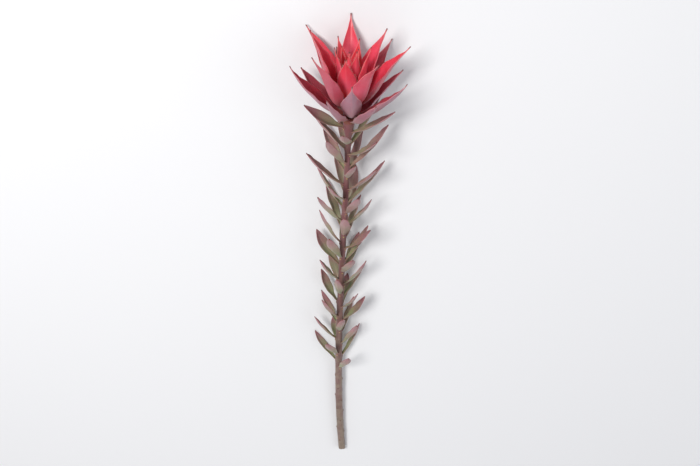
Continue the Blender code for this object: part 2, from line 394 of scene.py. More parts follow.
def buildBloom():
    # the waxy film of such leaves: patchy, rubbed thin in places, and finely mottled
    values = {"Amount": 0.4, "Patches": 70.0}
    tree, given, result = startEffect("waxBloom", values, "Film", "Specks")
    patches = noise(given["Place"], given["Patches"], 4.0, 0.6)
    mottle = noise(given["Place"], 1500.0, 3.0, 0.7)
    film = rising(patches, 0.28, 0.72, 0.35) * rising(mottle, 0.25, 0.75, 0.6)
    specks = cells(given["Place"], 620.0)
    feed(result["Film"], film * given["Amount"])
    feed(result["Specks"], falling(specks["Distance"] - parts(specks["Color"])[0] * 0.20, 0.0, 0.12))
    return tree


def buildBlemish():
    # rare small brown marks with a soft edge
    tree, given, result = startEffect("blemishes", {"Rarity": 0.8, "Scale": 120.0}, "Mask")
    spots = cells(given["Place"], given["Scale"])
    pick = parts(spots["Color"])
    spot = falling(spots["Distance"], 0.04, pick[1] * 0.12 + 0.07)
    feed(result["Mask"], calc("GREATER_THAN", pick[0], given["Rarity"]) * spot)
    return tree


veinGroup, bloomGroup, blemishGroup = buildVeins(), buildBloom(), buildBlemish()


def startMaterial(name, values={}):
    material = bpy.data.materials.new(name)
    material.use_nodes = True
    shader = material.node_tree.nodes["Principled BSDF"]
    shader.location = (1600, 0)
    for label, value in values.items():
        feed(shader.inputs[label], value)
    return material, material.node_tree, shader.inputs


def finish(shader, colour, roughness, height, strength, depth):
    feed(shader["Base Color"], colour)
    feed(shader["Roughness"], roughness)
    bump = {"Strength": strength, "Distance": depth, "Height": height}
    feed(shader["Normal"], put(height.tree, "ShaderNodeBump", bump))


def bladeMaterial(name, look):
    # the finish of leaves and bracts: an inner and an outer face, each with its colours from root to tip
    material, tree, shader = startMaterial(name, {
        "Subsurface Weight": look["glow"], "Subsurface Scale": 1.0,
        "Subsurface Radius": (1.6 * mm, 0.45 * mm, 0.35 * mm), "Sheen Weight": look["sheen"],
        "Sheen Roughness": 0.4, "Coat Weight": look["coat"], "Coat Roughness": 0.28,
    })
    names = ("share", "tone", "face", "height", "edgeGap")
    share, tone, face, height, edgeGap = (attribute(tree, label) for label in names)
    place = attribute(tree, "leafPlace", "Vector")
    blotches = noise(place, look["blotchScale"], 3.0, 0.55)
    reach = share + rising(blotches, 0.2, 0.8, -0.10, 0.10)
    outside = falling(face, -0.25, 0.25)
    strongTone = rising(tone, 0.15, 0.95)
    inner = shade(strongTone * look["toneInner"], ramp(reach, look["inner"]), look["innerTone"])
    outer = shade(strongTone * look["toneOuter"], ramp(reach, look["outer"]), look["outerTone"])
    # patches of the look's blotch colour on the inner face; on the main and inner bracts this colour is a pink
    # painted sheen
    inner = shade(rising(blotches, 0.45, 0.75) * look["blotch"], inner, look["blotchColour"])
    low = calc("MAXIMUM", falling(height, 0.3, 1.0, 1.0, 0.2), falling(tone, 0.05, 0.5, 0.8))
    veins = use(tree, veinGroup, Place=place, Spacing=look["veinSpacing"])
    film = outside * (look["bloomOuter"] - look["bloomInner"]) + look["bloomInner"]
    bloom = use(tree, bloomGroup, Place=place, Amount=film)
    marks = use(tree, blemishGroup, Place=place, Rarity=look["rarity"])
    layers = (
        ("lowColour", low * look["low"] * falling(reach, 0.3, 0.95)),
        ("flushColour", rising(noise(place, 34.0), 0.44, 0.66) * look["flush"]),
        ("veinColour", veins["Veins"] * look["veins"]),
        ("veinColour", veins["Net"] * 0.10),
        ("bloomColour", bloom["Film"]),
        ("speckColour", bloom["Specks"] * look["specks"]),
        ("marginColour", falling(edgeGap, 0.12 * mm, look["marginWidth"]) * look["margin"]),
        ("tipColour", rising(share, 0.955, 1.0) * 0.8),
        ("markColour", marks["Mask"] * 0.6),
    )
    colour = layered(shade(outside, inner, outer), look, layers)
    roughness = bloom["Film"] * 0.35 + veins["Veins"] * 0.06 + look["roughness"]
    sign = rising(outside, 0.0, 1.0, -1.0, 1.0)  # veins stand out on the outer face, and sink in inside
    finish(shader, colour, roughness, veins["Height"] * sign + blotches * 0.5, look["bump"], 0.12 * mm)
    return material


# the tree that makes blades

def buildBladeTree():
    # A slim loop is swept along each midrib. Every point of it is then set from the midrib's own
    # directions, width, fold and cup, pressed up by the table, and moved out by half the thickness.
    tree, given, result = startShapes("bladesFromMidribs", {
        "Points around": 32, "Thickness": 0.6 * mm, "Edge fullness": 3.0, "Rib height": 0.25 * mm,
        "Rib width": 0.9 * mm, "Wave height": 0.3 * mm, "Wave length": 13.0 * mm,
        "Unevenness": 0.25 * mm, "Table softness": 2.0 * mm,
    })
    rail = put(tree, "GeometryNodeMeshToCurve", [given["Geometry"]])
    loop = put(tree, "GeometryNodeCurvePrimitiveCircle", {"Resolution": given["Points around"]})
    loop = store(loop, "loopTurn", put(tree, "GeometryNodeInputIndex") / given["Points around"])
    shell = put(tree, "GeometryNodeCurveToMesh", {"Curve": rail, "Profile Curve": loop, "Fill Caps": True})

    # crossway runs from one edge to the other and back, face is 1 inside, -1 outside and 0 at an edge
    turn = read(tree, "loopTurn")
    angle = turn * (2 * math.pi)
    crossway = (abs(turn * 2.0 - 1.0) * 2.0 - 1.0 + calc("COSINE", angle)) * 0.5
    face = calc("SINE", angle) * given["Edge fullness"]
    face = calc("MAXIMUM", calc("MINIMUM", face, 1.0), -1.0)

    half, fold, cup = (read(tree, name) for name in ("halfWidth", "fold", "cup"))
    share, reach, order = (read(tree, name) for name in ("share", "reach", "order"))
    midrib, across, inward = (read(tree, name, "FLOAT_VECTOR") for name in ("midrib", "across", "inward"))
    sweep, side = abs(crossway), calc("SIGN", crossway)
    bent = cup * sweep + fold
    flat = (calc("SINE", bent) - calc("SINE", fold)) * (half / cup) * side
    rise = (calc("COSINE", fold) - calc("COSINE", bent)) * (half / cup)

    leafPlace = joined(crossway * half, reach, order * 0.037)
    bumps = noise(leafPlace, 85.0) * 2.0
    ripple = reach / given["Wave length"] * (2 * math.pi) + order * 2.4 + side * 1.1
    ripple = calc("SINE", ripple) * calc("POWER", sweep, 3.0) * calc("SINE", share * math.pi) * bumps
    uneven = (bumps - 1.0) * given["Unevenness"] * rising(share, 0.05, 0.35)
    rise = rise + ripple * given["Wave height"] + uneven
    middle = midrib + across * flat + inward * rise
    normal = inward * calc("COSINE", bent) - across * (calc("SINE", bent) * side)

    rib = crossway * half / given["Rib width"]
    rib = calc("EXPONENT", rib * rib * -1.0) * given["Rib height"] * (1.05 - share)
    halfThick = given["Thickness"] * 0.5
    offset = face * halfThick - rib * (0.7 - face * 0.3)

    # the table lifts what would sink into it, the more softly the higher it is
    at, softness = parts(middle), given["Table softness"]
    growth = calc("EXPONENT", at[2] / softness)
    lifted = calc("LOGARITHM", growth + 1.0, math.e) * softness
    slope, lean = growth / (growth + 1.0), parts(normal)
    normal = calc("NORMALIZE", joined(lean[0] * slope, lean[1] * slope, lean[2]))
    below = lifted - abs(parts(normal)[2]) * (halfThick + rib)
    lifted = lifted - calc("MINIMUM", below, 0.0)

    shell = store(shell, "face", face)
    shell = store(shell, "edgeGap", (1.0 - sweep) * half)
    shell = store(shell, "leafPlace", leafPlace, "FLOAT_VECTOR")
    position = joined(at[0], at[1], lifted) + normal * offset
    shell = put(tree, "GeometryNodeSetPosition", {"Geometry": shell, "Position": position})
    return endTree(shell, given, result)


bladeTree = buildBladeTree()
flatHalfWidth, tipHalfWidth = 2.4 * mm, 0.5 * mm  # narrower than the first, a blade unfolds


def midribOf(blade, rows):
    # the midrib's points, with the directions, width, fold and cup of the blade at each
    s = np.linspace(0.0, 1.0, rows + 1)
    lean, along, out = (np.interp(s, stations, blade[name])[:, None] for name in ("lean", "along", "out"))
    half = mix(leafOutline(s), bractOutline(s), blade["bractness"]) * blade["width"] / 2
    half = np.maximum(half, tipHalfWidth)
    flatness = np.minimum(1.0, half / flatHalfWidth)
    rootCup, middleCup, tipCup = blade["cup"]
    cup = mix(rootCup, middleCup, smooth(s / 0.25)) + (tipCup - middleCup) * smooth((s - 0.25) / 0.5)
    forward, outward, across = blade["forward"], blade["outward"], blade["across"]
    inside = forward * np.sin(lean) - outward * np.cos(lean)
    turn = np.radians(blade["twist"] * smooth(s / 0.6))[:, None]
    swing = blade["swing"] * smooth(s)[:, None]
    return {
        "midrib": blade["root"] + forward * along + outward * out + across * swing,
        "across": across * np.cos(turn) + inside * np.sin(turn),
        "inward": inside * np.cos(turn) - across * np.sin(turn),
        "halfWidth": half,
        "fold": np.radians(mix(*blade["fold"], s)) * flatness,
        "cup": np.radians(cup) * flatness,
        "share": s,
        "reach": s * blade["length"],
        "order": np.full(rows + 1, float(blade["order"])),
        "tone": np.full(rows + 1, blade["tone"]),
        "height": np.full(rows + 1, blade["height"]),
    }


def bladePiece(name, blades, piece, look, node):
    chance = random.Random(spiral["seed"] + len(blades))
    for blade in blades:
        blade["tone"] = chance.random()
    rails = [midribOf(blade, piece["rows"]) for blade in blades]
    joinedRails = {label: np.concatenate([rail[label] for rail in rails]) for label in rails[0]}
    starts = range(0, len(blades) * (piece["rows"] + 1), piece["rows"] + 1)
    edges = [(start + row, start + row + 1) for start in starts for row in range(piece["rows"])]
    result = meshObject(name, joinedRails["midrib"], edges, **joinedRails)
    material = bladeMaterial(name.replace("_", " "), look)
    grow(result, bladeTree, {**piece, "Table softness": table["softness"], "Material": material})
    for label in ("midrib", "across", "inward", "halfWidth", "fold", "cup", "loopTurn", "reach"):
        result.data.attributes.remove(result.data.attributes[label])
    keep(result, node)


# the woody stem, its cut end, and the marks on it

stemPiece = {
    "cutRadius": 3.3 * mm, "neckRadius": 2.1 * mm, "footRadius": 4.2 * mm, "swelling": 16.0 * mm,
    "cutSlant": 0.55, "slantLength": 5.0 * mm, "sides": 40, "rings": 620,
    "ridgeHeight": 0.42 * mm,  # below each leaf the stem carries a low ridge
    "ridgeLength": 13.0 * mm, "ridgeWidth": 1.1 * mm, "ridgeEnd": 3.0 * mm, "oldRidgeWidth": 1.8 * mm,
    "oldRidgeShare": 0.6, "knobHeight": 0.5 * mm, "knobLength": 1.3 * mm,
}
stemLook = {
    "alongStem": [(0.0, 104, 80, 66), (0.45, 112, 64, 62), (1.0, 124, 58, 68)], "groove": (58, 36, 34),
    "film": (170, 140, 138), "lenticel": (182, 152, 124), "green": (118, 112, 72),
    "grey": (142, 126, 110), "grain": 1300.0,
}
stemLeaves = {
    "count": 54, "lowest": 0.112, "highest": 0.369, "rows": 34,
    "Points around": 24, "Thickness": 0.55 * mm, "Rib height": 0.22 * mm, "Wave height": 0.25 * mm,
}
oldLeafMarks = {
    "count": 18, "gap": 5.4 * mm, "lift": 0.50 * mm,
    "Wide": 1.1 * mm, "Long": 0.8 * mm, "Proud": 0.40 * mm, "Segments": 14,
}
markRims = {"lift": 0.42 * mm, "Wide": 1.6 * mm, "Long": 1.3 * mm, "Proud": 0.44 * mm, "Segments": 14}
leafCushions = {"below": 0.9 * mm, "lift": 0.35 * mm, "Wide": 1.5 * mm, "Long": 1.7 * mm, "Proud": 1.0 * mm}


def growLeaves():
    chance = random.Random(spiral["seed"])
    blades = []
    for order in range(stemLeaves["count"]):
        share = order / (stemLeaves["count"] - 1)
        distance = mix(stemLeaves["lowest"], stemLeaves["highest"], share * (1.2 - 0.2 * share))
        jitter = chance.uniform(-6, 6)
        azimuth = azimuthOf(order, chance, 9)
        blades.append(makeBlade(
            distance, azimuth, 0.4 * stemRadius(distance), order=order, height=share,
            length=mix(37, 46, share) * mm * chance.uniform(0.90, 1.08),
            width=mix(8.8, 10.8, share) * mm * chance.uniform(0.92, 1.08),
            bractness=0.35 * share**5,
            leans=[mix(low, high, share**3) + jitter for low, high in ((48, 68), (32, 46), (14, 32))],
            settles=0.45, fold=(10, 14), cup=(12, 40, 26),
            twist=chance.uniform(-32, 32),
            swing=chance.uniform(-3, 3) * mm,
        ))
    return blades


def oldJoins():
    # where leaves have dropped from the lower stem, in the same spiral
    steps = range(1, oldLeafMarks["count"] + 1)
    first, gap = stemLeaves["lowest"], oldLeafMarks["gap"]
    return [(first - gap * step, spiral["first"] - step * spiral["turn"]) for step in steps]


def ringFaces(rings, sides):
    # the faces between rings of points, and one that closes each end
    faces = [tuple(range(sides))[::-1]]
    for ring in range(rings - 1):
        for step in range(sides):
            a, b = ring * sides + step, ring * sides + (step + 1) % sides
            faces.append((a, b, b + sides, a + sides))
    last = (rings - 1) * sides
    return faces + [tuple(range(last, last + sides))]


def stemMesh(leaves):
    # rings round the stem's line, raised where leaves join it and in a ridge below each
    sides, look = stemPiece["sides"], stemPiece
    points = []
    angles = 2 * np.pi * (np.arange(sides) + 0.5) / sides
    joins = [(leaf["distance"], leaf["azimuth"], 1.0, look["ridgeWidth"]) for leaf in leaves]
    joins += [(*join, look["oldRidgeShare"], look["oldRidgeWidth"]) for join in oldJoins()]
    climb = np.repeat(np.arange(look["rings"] + 1) / look["rings"], sides)
    for distance in stemLine["length"] * climb[::sides]:
        point, forward, side, up = axisAt(distance)
        radius = stemRadius(distance)
        bulge = np.zeros(sides)
        for place, azimuth, strength, wide in joins:
            ahead = distance - place
            if not -look["ridgeLength"] < ahead < look["ridgeEnd"]:
                continue
            aside = radius * np.abs((angles - math.radians(azimuth) + np.pi) % (2 * np.pi) - np.pi)
            band = strength * np.exp(-((aside / wide) ** 2))
            fade = smooth(1 + ahead / look["ridgeLength"]) * smooth(1 - ahead / look["ridgeEnd"])
            knob = math.exp(-((ahead / look["knobLength"]) ** 2))
            bulge = np.maximum(bulge, band * (look["ridgeHeight"] * fade + look["knobHeight"] * knob))
        offset = np.outer(np.cos(angles), side) + np.outer(np.sin(angles), up)
        slant = radius * look["cutSlant"] * max(0.0, 1 - distance / look["slantLength"])
        grown = point + offset * (radius + bulge)[:, None] + np.outer(np.sin(angles), forward) * slant
        grown[:, 2] = np.maximum(grown[:, 2], 0.0)
        points.append(grown)
    return np.concatenate(points), ringFaces(look["rings"] + 1, sides), climb


def stemMaterial():
    material, tree, shader = startMaterial("stem bark", {"Sheen Weight": 0.25, "Sheen Roughness": 0.45})
    place = put(tree, "ShaderNodeTexCoord", output="Object")
    along = attribute(tree, "climb")
    drawn = stretched(place, 0.07)
    streaks = noise(drawn, stemLook["grain"], 5.0, 0.62)
    patches = noise(place, 110.0, 3.0)
    aged = falling(along, 0.05, 0.7)  # the bark cracks and greys towards the cut
    bent = drawn + noise(place, 220.0)[1] * (0.5 * mm)
    cracks = falling(cells(bent, stemLook["grain"], "DISTANCE_TO_EDGE"), 0.0, 0.09)
    cracks = cracks * rising(noise(place, 300.0), 0.46, 0.66) * (aged * 0.9 + 0.1)
    spots = cells(stretched(place, 0.45), 520.0)
    pick = parts(spots["Color"])
    lenticels = falling(spots["Distance"] - (pick[1] * 0.16 + 0.04), -0.03, 0.05)
    lenticels = lenticels * calc("GREATER_THAN", pick[0], 0.82)
    layers = (
        ("green", rising(patches, 0.5, 0.75) * 0.35),
        ("groove", rising(streaks, 0.52, 0.72) * 0.65),
        ("film", use(tree, bloomGroup, Place=place, Amount=0.42)["Film"]),
        ("grey", aged * rising(patches, 0.40, 0.62, 0.1, 0.75)),
        ("groove", cracks * 0.45),
        ("lenticel", lenticels * 0.5),
    )
    colour = layered(ramp(along, stemLook["alongStem"]), stemLook, layers)
    height = lenticels * 0.5 - streaks * 0.8 - cracks * 0.9
    finish(shader, colour, rising(streaks, 0.2, 0.8, 0.50, 0.76), height, 0.7, 0.3 * mm)
    return material


cutPiece = {
    "rings": 12,
    "share": 0.985,  # of the stem's own radius
    "proud": 0.35 * mm, "sunk": 0.8 * mm, "ripple": 0.09 * mm, "rounded": 0.22 * mm,
    "fromPith": [
        (0.0, 150, 108, 72), (0.14, 170, 130, 88), (0.2, 216, 198, 150), (0.55, 226, 212, 164),
        (0.78, 204, 196, 138), (0.86, 140, 150, 84), (0.93, 112, 66, 60),
    ],
    "ray": (150, 112, 70),
}


def cutMaterial():
    # pale wood with a pith, rays and a green ring under the bark
    material, tree, shader = startMaterial("cut wood")
    grain = noise(attribute(tree, "rayPlace", "Vector"), 1.0, 4.0)
    colour = ramp(attribute(tree, "fromPith") + grain * 0.06 - 0.03, cutPiece["fromPith"])
    colour = shade(rising(grain, 0.5, 0.8) * 0.5, colour, cutPiece["ray"])
    finish(shader, colour, 0.7, grain, 0.7, 0.2 * mm)
    return material


def cutMesh():
    # the cut face: a shallow disc across the stem, slanted as the blade went through
    rings, sides = cutPiece["rings"], stemPiece["sides"]
    point, forward, side, up = axisAt(0.0)
    points, wood, ray = [], [], []
    for layer, depth in enumerate((cutPiece["proud"], -cutPiece["sunk"])):
        for ring in range(1, rings + 1):
            share = ring / rings
            for step in range(sides):
                angle = 2 * math.pi * (step + 0.5) / sides
                radius = stemPiece["cutRadius"] * cutPiece["share"] * share
                ripple = cutPiece["ripple"] * math.sin(5.0 * angle + ring * 1.9) * (ring < rings)
                raised = (cutPiece["rounded"] * share**6 + ripple) * (layer == 0) - depth
                offset = side * math.cos(angle) * radius + up * math.sin(angle) * radius
                slanted = forward * (math.sin(angle) * radius * stemPiece["cutSlant"] + raised)
                points.append(point + offset + slanted)
                wood.append(share)
                ray.append((math.cos(angle) * 9.0, math.sin(angle) * 9.0, share * 1.6))
        points.append(point - forward * depth)
        wood.append(0.0)
        ray.append((0.0, 0.0, 0.0))
    faces = []
    each = rings * sides + 1
    for step in range(sides):
        follow = (step + 1) % sides
        for base in (0, each):
            faces.append((base + each - 1, base + step, base + follow))
            for ring in range(rings - 1):
                a, b = base + ring * sides + step, base + ring * sides + follow
                faces.append((a, a + sides, b + sides, b))
        a, b = (rings - 1) * sides + step, (rings - 1) * sides + follow
        faces.append((a, a + each, b + each, b))
    return points, faces, wood, ray


def onPoints(given, item, turn, scale):
    values = {"Points": given["Geometry"], "Instance": item, "Rotation": turn, "Scale": scale}
    return put(given.tree, "GeometryNodeInstanceOnPoints", values)


def buildBeadTree():
    # small rounded beads on points that carry an aim, the way they lie, and a size
    sizes = {"Wide": 1.0 * mm, "Long": 1.0 * mm, "Proud": 1.0 * mm}
    tree, given, result = startShapes("beadsOnPoints", {**sizes, "Segments": 10, "Rings": 6})
    counts = {"Segments": given["Segments"], "Rings": given["Rings"], "Radius": 0.5}
    bead = put(tree, "GeometryNodeMeshUVSphere", counts)
    aim = {"Vector": read(tree, "aim", "FLOAT_VECTOR")}
    lie = {"Vector": read(tree, "lie", "FLOAT_VECTOR")}
    lie["Rotation"] = put(tree, "FunctionNodeAlignRotationToVector", aim, axis="Z")
    turn = put(tree, "FunctionNodeAlignRotationToVector", lie, axis="Y", pivot_axis="Z")
    size = joined(given["Wide"], given["Long"], given["Proud"]) * read(tree, "size")
    return endTree(onPoints(given, bead, turn, size), given, result)


def buildHairTree():
    # slender three-sided hairs on points that carry an aim, each with its own length and lean
    values = {"Length": 1.0 * mm, "Thickness": 0.03 * mm, "Disorder": 0.4, "Seed": 4}
    tree, given, result = startShapes("hairsOnPoints", values)
    sizes = {"Vertices": 3, "Radius Top": 0.1, "Radius Bottom": 1.0, "Depth": 1.0}
    hair = put(tree, "GeometryNodeMeshCone", sizes, "Mesh")
    leans = {0: (-1.0, -1.0, -1.0), 1: (1.0, 1.0, 1.0), "Seed": given["Seed"]}
    lean = put(tree, "FunctionNodeRandomValue", leans, data_type="FLOAT_VECTOR")
    aim = read(tree, "aim", "FLOAT_VECTOR") + lean * given["Disorder"]
    turn = put(tree, "FunctionNodeAlignRotationToVector", {"Vector": aim}, axis="Z")
    lengths = {2: 0.5, 3: 1.2, "Seed": given["Seed"]}
    tall = given["Length"] * put(tree, "FunctionNodeRandomValue", lengths, 1, data_type="FLOAT")
    size = joined(given["Thickness"], given["Thickness"], tall)
    return endTree(onPoints(given, hair, turn, size), given, result, False)


beadTree, hairTree = buildBeadTree(), buildHairTree()


def hairPiece(name, blades, shape, material, node):
    # a row of hairs along both edges of each blade, from one share of its length to another
    points, aims = [], []
    rows, chance = hairs["rows"], random.Random(spiral["seed"] + 7)
    for blade in blades:
        rail = midribOf(blade, rows)
        for side in (-1.0, 1.0):
            for _ in range(shape["perEdge"]):
                row = min(rows - 1, int(rows * chance.uniform(*shape["span"])))
                here, across, inward = (rail[label][row] for label in ("midrib", "across", "inward"))
                half, fold, cup = (rail[label][row] for label in ("halfWidth", "fold", "cup"))
                flat = half * (math.sin(fold + cup) - math.sin(fold)) / cup * side
                rise = half * (math.cos(fold) - math.cos(fold + cup)) / cup
                ahead = unit(rail["midrib"][row + 1] - here)
                out = across * side * math.cos(fold + cup) + inward * math.sin(fold + cup)
                edge = here + across * flat + inward * rise - out * hairs["sunk"]
                points.append(edge + ahead * chance.uniform(0.0, blade["length"] / rows))
                aims.append(unit(out + ahead * 0.8))
    piece = meshObject(name, points, aim=np.array(aims))
    keep(grow(piece, hairTree, {**shape, "Material": material}), node)


def beadPiece(name, places, shape, material, node):
    # places are (point, aim, lie, size)
    point, aim, lie, size = (np.array(column) for column in zip(*places))
    piece = meshObject(name, point, aim=aim, lie=lie, size=size)
    keep(grow(piece, beadTree, {**shape, "Material": material}), node)


def grownMaterial(name, colour, other, scale, roughness, depth):
    # one grown surface in two colours that drift into each other
    values = {"Subsurface Weight": 0.08, "Subsurface Radius": (1.0 * mm, 0.5 * mm, 0.3 * mm)}
    material, tree, shader = startMaterial(name, values)
    place = put(tree, "ShaderNodeTexCoord", output="Object")
    drift = rising(noise(place, scale, 4.0, 0.6), 0.3, 0.7)
    grain = noise(place, 2600.0)
    rough = rising(grain, 0.2, 0.8, roughness - 0.08, roughness + 0.10)
    finish(shader, shade(drift, colour, other), rough, grain, 0.5, depth)
    return material


def placeOnStem(distance, azimuth, lift, lowest=0.0):
    # where a bead sits on the stem: its point, its aim, the way it lies, and its size
    point, forward, outward = spokeAt(distance, azimuth)
    point = point + outward * (stemRadius(distance) + lift)
    point[2] = max(point[2], lowest)
    return point, outward, forward, 1.0


leafLook = {
    "inner": [(0.0, 150, 156, 96), (0.3, 142, 138, 104), (0.65, 146, 104, 104), (1.0, 122, 62, 76)],
    "outer": [(0.0, 176, 176, 122), (0.3, 170, 160, 132), (0.65, 174, 132, 132), (1.0, 140, 78, 92)],
    "innerTone": (128, 74, 86), "toneInner": 0.6, "outerTone": (166, 108, 120), "toneOuter": 0.6,
    "low": 0.85, "lowColour": (132, 146, 98), "flush": 0.45, "flushColour": (158, 84, 98),
    "blotch": 0.25, "blotchColour": (150, 86, 98), "blotchScale": 90.0, "veinSpacing": 3.2 * mm,
    "veins": 0.20, "veinColour": (178, 156, 132), "bloomInner": 0.16, "bloomOuter": 0.34,
    "bloomColour": (178, 164, 164), "specks": 0.12, "speckColour": (206, 192, 178), "margin": 0.55,
    "marginWidth": 0.42 * mm, "marginColour": (176, 96, 100), "tipColour": (120, 52, 48),
    "rarity": 0.86, "markColour": (92, 56, 44), "roughness": 0.42, "coat": 0.10, "glow": 0.10,
    "sheen": 0.08, "bump": 0.5,
}
outerLook = dict(
    leafLook,
    inner=[(0.0, 156, 112, 80), (0.15, 168, 60, 76), (0.55, 162, 42, 60), (1.0, 122, 32, 50)],
    outer=[(0.0, 178, 160, 124), (0.22, 172, 122, 118), (0.6, 156, 88, 102), (1.0, 124, 54, 70)],
    innerTone=(196, 60, 78), toneInner=0.7, outerTone=(186, 136, 158), toneOuter=0.75, low=0.0,
    flush=0.55, flushColour=(172, 44, 62), blotch=0.3, blotchColour=(184, 48, 62), veins=0.16,
    veinColour=(206, 132, 136), bloomInner=0.08, bloomOuter=0.34, bloomColour=(190, 160, 178),
    margin=0.7, marginColour=(214, 146, 148), marginWidth=0.55 * mm, rarity=0.9, roughness=0.38,
    coat=0.16, glow=0.12,
)
mainLook = dict(
    outerLook,
    # the coral pink in the middle of the inner face is partly the bracts' own colour and partly painted sheen,
    # as if lit from above
    inner=[
        (0.0, 178, 140, 62), (0.10, 204, 96, 78), (0.26, 242, 104, 134),
        (0.52, 240, 92, 122), (0.78, 220, 52, 78), (1.0, 168, 28, 46),
    ],
    outer=[
        (0.0, 186, 160, 110), (0.12, 212, 118, 116), (0.45, 228, 96, 122),
        (0.8, 194, 60, 82), (1.0, 146, 38, 54),
    ],
    innerTone=(210, 32, 54), toneInner=0.85, outerTone=(176, 68, 88), toneOuter=0.75, flush=0.4,
    # the pink blotches on the inner face are painted sheen lit from above, and the inner bracts keep them too
    flushColour=(216, 34, 56), blotch=0.35, blotchColour=(246, 104, 134), blotchScale=60.0, veins=0.12,
    veinColour=(240, 130, 134), bloomInner=0.04, bloomOuter=0.20, bloomColour=(216, 150, 164),
    specks=0.10, speckColour=(244, 168, 160), marginColour=(222, 132, 132), marginWidth=0.6 * mm,
    margin=0.6, rarity=0.93, markColour=(110, 24, 28), roughness=0.34, coat=0.22, glow=0.15, sheen=0.05,
)
innerLook = dict(
    mainLook,
    inner=[(0.0, 206, 170, 74), (0.14, 224, 116, 84), (0.4, 236, 82, 98), (1.0, 194, 32, 48)],
    outer=[
        (0.0, 206, 168, 92), (0.12, 236, 122, 114), (0.42, 244, 108, 138),
        (0.78, 228, 60, 84), (1.0, 182, 30, 46),
    ],
    innerTone=(218, 36, 50), outerTone=(226, 44, 64), toneOuter=0.65, flush=0.35, bloomOuter=0.10,
    marginColour=(238, 132, 128),
)
scaleLook = dict(
    innerLook,
    inner=[(0.0, 176, 178, 74), (0.7, 196, 188, 84), (1.0, 186, 110, 62)],
    outer=[(0.0, 168, 176, 78), (0.6, 192, 190, 92), (0.9, 196, 132, 72), (1.0, 156, 56, 46)],
    innerTone=(160, 172, 76), outerTone=(200, 192, 108), flush=0.0, blotch=0.2,
    blotchColour=(190, 170, 70), bloomColour=(226, 222, 184), marginColour=(222, 212, 150),
    marginWidth=0.2 * mm, glow=0.10,
)


leaves = growLeaves()
stemPoints, stemFaces, stemClimb = stemMesh(leaves)
shellPiece("stem_bark", stemPoints, stemFaces, stemMaterial(), "leafy_stem", climb=stemClimb)
cutPoints, cutFaces, wood, ray = cutMesh()
shellPiece("cut_wood", cutPoints, cutFaces, cutMaterial(), "leafy_stem", fromPith=wood, rayPlace=ray)
print("stem ready")

bladePiece("stem_leaves", leaves, stemLeaves, leafLook, "leafy_stem")
below, lift = leafCushions["below"], leafCushions["lift"]
cushions = [placeOnStem(leaf["distance"] - below, leaf["azimuth"], lift) for leaf in leaves]
cushionMaterial = grownMaterial("leaf cushion", (206, 186, 112), (178, 120, 84), 700.0, 0.5, 0.1 * mm)
beadPiece("leaf_cushions", cushions, leafCushions, cushionMaterial, "leafy_stem")

markMaterial = grownMaterial("old leaf mark", (172, 140, 104), (112, 80, 60), 1100.0, 0.75, 0.2 * mm)
rimMaterial = grownMaterial("old leaf rim", (84, 52, 46), (58, 38, 34), 900.0, 0.7, 0.2 * mm)
for name, shape, material in (
    ("old_leaf_marks", oldLeafMarks, markMaterial),
    ("old_leaf_rims", markRims, rimMaterial),
):
    marks = [placeOnStem(*join, shape["lift"], shape["Wide"] / 2) for join in oldJoins()]
    beadPiece(name, marks, shape, material, "leafy_stem")
print("leaves ready")

# the flower head; each form gives the measures of its lowest and its highest bract

outerBracts = {
    "count": 10, "core": (0.3 * mm, 9.5 * mm), "chance": 24, "rows": 44,
    "Points around": 32, "Thickness": 0.55 * mm, "Rib height": 0.25 * mm, "Wave height": 0.35 * mm,
    "form": {
        "length": (48, 62), "width": (13, 19), "bractness": (0.45, 1.0), "settles": (0.45, 0.45),
        "leans": ((78, 47, 28), (70, 36, 34)), "fold": ((8, 16), (8, 18)),
        "cup": ((12, 46, 26), (12, 54, 28)), "curl": (14, 12),
        "twist": (16, 10), "swing": (6, 6), "jitter": (4, 3), "rootRadius": (3.0, 3.0), "sunk": (1.2, 2.0),
    },
}
mainBracts = {
    "count": 7, "core": (9.8 * mm, 18.8 * mm), "chance": 92, "rows": 48,
    "Points around": 36, "Thickness": 0.55 * mm, "Rib height": 0.22 * mm, "Wave height": 0.35 * mm,
    "form": {
        "length": (66, 62), "width": (22, 21), "bractness": (1.0, 1.0), "settles": (0.45, 0.42),
        "leans": ((66, 29, 34), (50, 13, 24)), "fold": ((8, 20), (8, 20)),
        "cup": ((12, 58, 30), (14, 62, 34)), "curl": (14, 10),
        "twist": (8, 6), "swing": (5, 3), "jitter": (2, 2), "rootRadius": (3.0, 3.2), "sunk": (1.2, 2.8),
    },
}
innerBracts = {
    "count": 9, "core": (19.1 * mm, 29.2 * mm), "chance": 23, "rows": 44,
    "Points around": 32, "Thickness": 0.5 * mm, "Rib height": 0.18 * mm, "Wave height": 0.2 * mm,
    "form": {
        "length": (47, 33), "width": (17, 9), "bractness": (1.0, 1.0), "settles": (0.29, 0.21),
        "leans": ((66, 9, 16), (46, -3, -4)), "fold": ((1, 12), (1, 12)),
        "cup": ((20, 50, 30), (20, 48, 32)), "curl": (4, 3),
        "twist": (5, 3), "swing": (2, 1), "jitter": (1, 1), "rootRadius": (3.4, 3.4), "sunk": (1.2, 2.2),
    },
}
headAxis = {"span": (-0.3 * mm, 29.6 * mm), "footRadius": 4.2 * mm, "radius": 4.55 * mm, "slims": 0.35}
conePiece = {
    "core": (29.5 * mm, 43.0 * mm), "radius": 2.2 * mm, "widest": 0.38, "spare": 0.5 * mm,
    "scales": 34, "scaleSpan": (0.06, 0.88), "scaleSunk": 1.0 * mm, "rows": 10,
    "Points around": 16, "Thickness": 0.4 * mm, "Rib height": 0.1 * mm, "Wave height": 0.0,
}
coneBuds = {"count": 30, "span": (0.84, 0.995), "Wide": 0.62 * mm, "Long": 0.62 * mm, "Proud": 0.9 * mm}
hairs = {"sunk": 0.05 * mm, "rows": 60}
scaleHairs = {"perEdge": 22, "span": (0.15, 0.95), "Length": 0.9 * mm, "Disorder": 0.5}
